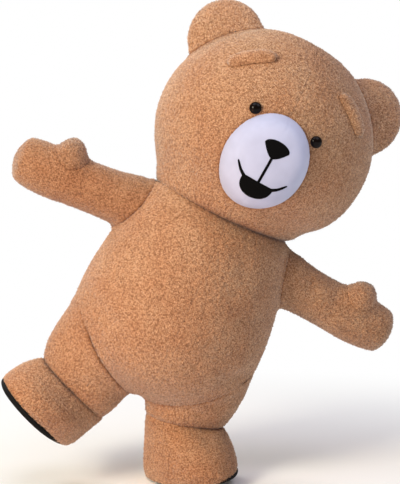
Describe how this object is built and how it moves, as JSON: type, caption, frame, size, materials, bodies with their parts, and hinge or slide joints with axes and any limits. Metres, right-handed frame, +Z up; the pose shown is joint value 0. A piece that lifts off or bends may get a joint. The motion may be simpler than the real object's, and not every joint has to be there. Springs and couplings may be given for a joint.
{
  "type": "bear mascot costume",
  "caption": "Hollow plush bear suit with an attached round head, white muzzle, mitts, boots and a back zip, in the leaning pose it has when worn.",
  "frame": {"origin": "where the suit rests on the wearer's shoulders, in the middle of the neck", "axes": "+Z up, -Y the way the face and the body's front look, +X the wearer's left. The body leans 25.4 degrees towards +X about the Y axis, and the head 29 degrees"},
  "size_m": [2.0213, 1.0772, 2.4059],
  "materials": {
    "tan_plush": "short dense plush pile, matt",
    "white_knit": "smooth brushed knit, matt",
    "black_felt": "dense felt, matt",
    "black_dome": "polished, near black",
    "sole_cloth": "coated canvas over foam, matt",
    "zip_cloth": "woven tape and woven-in coil, matt",
    "zip_metal": "aged, satin"
  },
  "bodies": {
    "suit": {"boot_back_left": "tan_plush", "boot_back_right": "tan_plush", "boot_front_left": "tan_plush", "boot_front_right": "tan_plush", "brow_left": "tan_plush", "brow_right": "tan_plush", "ear_back_left": "tan_plush", "ear_back_right": "tan_plush", "ear_front_left": "tan_plush", "ear_front_right": "tan_plush", "eye_left": "black_dome", "eye_right": "black_dome", "head_back_left": "tan_plush", "head_back_right": "tan_plush", "head_front_left": "tan_plush", "head_front_right": "tan_plush", "leg_back_left": "tan_plush", "leg_back_right": "tan_plush", "leg_front_left": "tan_plush", "leg_front_right": "tan_plush", "mouth": "black_felt", "mouth_line": "black_felt", "muzzle": "white_knit", "nose": "black_felt", "sleeve_back_left": "tan_plush", "sleeve_back_right": "tan_plush", "sleeve_front_left": "tan_plush", "sleeve_front_right": "tan_plush", "sole_left": "sole_cloth", "sole_right": "sole_cloth", "thumb_left": "tan_plush", "thumb_right": "tan_plush", "torso_back_left": "tan_plush", "torso_back_right": "tan_plush", "torso_front_left": "tan_plush", "torso_front_right": "tan_plush", "zip_chain": "zip_cloth", "zip_slider": "zip_metal", "zip_tape": "zip_cloth"},
    "pull_tab": {"zip_pull_tab": "zip_metal"}
  },
  "joints": [
    {"name": "pull_tab_swing", "type": "hinge", "parent": "suit", "child": "pull_tab", "pos_m": [-0.02718, 0.34287, -0.05724], "axis": [0.9033, 0, -0.4289], "range_deg": [0, 150]}
  ]
}
